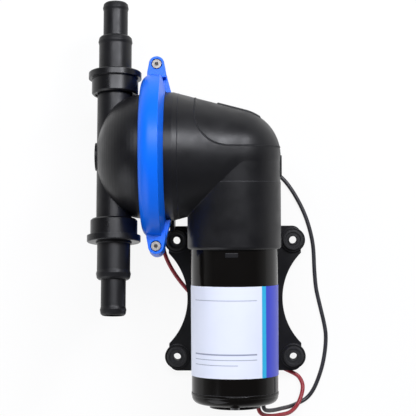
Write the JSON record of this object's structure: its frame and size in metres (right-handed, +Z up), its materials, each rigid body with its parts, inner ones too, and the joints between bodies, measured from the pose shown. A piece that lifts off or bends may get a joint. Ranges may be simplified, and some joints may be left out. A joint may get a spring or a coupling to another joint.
{
  "type": "diaphragm shower drain pump",
  "caption": "Diaphragm pump for draining a shower tray: domed head with two hose tails in line, blue clamp ring, elbow crank housing and a canned motor on a footed base.",
  "frame": {"origin": "centre of the four mounting holes, on the surface that the rubber feet stand on", "axes": "+X from the pump head across to the motor's far side, +Y along the motor axis towards the elbow housing, +Z up from the mounting surface"},
  "size_m": [0.1876, 0.3285, 0.1315],
  "materials": {
    "black_moulding": "moulded, fine satin grain",
    "collar_plastic": "moulded, satin",
    "ring_plastic": "semi-gloss azure blue moulding",
    "motor_paint": "gloss black enamel on steel",
    "label_film": "printed film, satin",
    "stainless": "stainless, machined",
    "dark_steel": "dark machined steel",
    "soft_black": "moulded rubber, matte",
    "valve_rubber": "grey rubber, matte",
    "gear_resin": "natural acetal, satin",
    "brass": "turned brass",
    "copper": "enamelled copper",
    "magnet": "ferrite and carbon, dull",
    "card_resin": "brown phenolic, satin",
    "lead_black": "black insulation, satin",
    "lead_red": "red insulation, satin"
  },
  "bodies": {
    "pump": {"diaphragm": "soft_black", "clamp_front_half": "ring_plastic", "clamp_rear_half": "ring_plastic", "clamp_screws": "stainless", "clamp_nuts": "stainless", "crank_housing": "black_moulding", "crank_cover": "black_moulding", "lower_bearing_outer": "stainless", "lower_bearing_balls": "stainless", "upper_bearing_outer": "stainless", "upper_bearing_balls": "stainless", "ring_gear": "gear_resin", "motor_plate": "dark_steel", "motor_can": "motor_paint", "magnets": "magnet", "motor_bushes": "brass", "end_bell": "motor_paint", "brush_card": "card_resin", "brushes": "magnet", "brush_springs": "stainless", "through_bolts": "stainless", "motor_label": "label_film", "lead_grommet": "soft_black", "base_plate": "black_moulding", "rubber_feet": "soft_black", "base_screws": "stainless", "black_lead": "lead_black", "red_lead": "lead_red", "lead_tips": "copper"},
    "head": {"pump_head": "black_moulding", "inlet_port": "black_moulding", "outlet_port": "black_moulding", "inlet_collar": "collar_plastic", "outlet_collar": "collar_plastic", "inlet_valve": "valve_rubber", "outlet_valve": "valve_rubber"},
    "rotor": {"motor_shaft": "stainless", "armature_core": "dark_steel", "armature_windings": "copper", "commutator": "copper", "sun_gear": "brass"},
    "carrier": {"planet_carrier": "dark_steel", "planet_pins": "stainless", "output_shaft": "stainless", "eccentric": "dark_steel", "eccentric_screw": "stainless", "lower_bearing_inner": "stainless", "upper_bearing_inner": "stainless", "rod_bearing_inner": "stainless"},
    "planet_a": {"planet_gear_a": "gear_resin"},
    "planet_b": {"planet_gear_b": "gear_resin"},
    "planet_c": {"planet_gear_c": "gear_resin"},
    "conrod": {"connecting_rod": "gear_resin", "rod_bearing_outer": "stainless", "rod_bearing_balls": "stainless", "diaphragm_back_plate": "stainless", "diaphragm_front_plate": "stainless", "diaphragm_screw": "stainless"}
  },
  "joints": [
    {"name": "rotor_spin", "type": "hinge", "parent": "pump", "child": "rotor", "pos_m": [0, 0, 0.068], "axis": [0, 1, 0], "continuous": true},
    {"name": "carrier_spin", "type": "hinge", "parent": "pump", "child": "carrier", "pos_m": [0, 0.113, 0.068], "axis": [0, 1, 0], "continuous": true},
    {"name": "planet_a_spin", "type": "hinge", "parent": "carrier", "child": "planet_a", "pos_m": [0.015, 0.0615, 0.068], "axis": [0, 1, 0], "continuous": true},
    {"name": "planet_b_spin", "type": "hinge", "parent": "carrier", "child": "planet_b", "pos_m": [-0.0075, 0.0615, 0.05501], "axis": [0, 1, 0], "continuous": true},
    {"name": "planet_c_spin", "type": "hinge", "parent": "carrier", "child": "planet_c", "pos_m": [-0.0075, 0.0615, 0.08099], "axis": [0, 1, 0], "continuous": true},
    {"name": "conrod_swing", "type": "hinge", "parent": "carrier", "child": "conrod", "pos_m": [0.003, 0.113, 0.068], "axis": [0, 1, 0], "continuous": true, "deforming": ["diaphragm"]},
    {"name": "head_swivel", "type": "hinge", "parent": "pump", "child": "head", "pos_m": [-0.06, 0.113, 0.068], "axis": [1, 0, 0], "range_deg": [-15.5, 34.5]}
  ],
  "couplings": [
    {"joint": "carrier_spin", "follows": "rotor_spin", "ratio": 0.2},
    {"joint": "planet_a_spin", "follows": "rotor_spin", "ratio": -0.53333},
    {"joint": "planet_b_spin", "follows": "rotor_spin", "ratio": -0.53333},
    {"joint": "planet_c_spin", "follows": "rotor_spin", "ratio": -0.53333},
    {"joint": "conrod_swing", "follows": "rotor_spin", "ratio": -0.2}
  ]
}
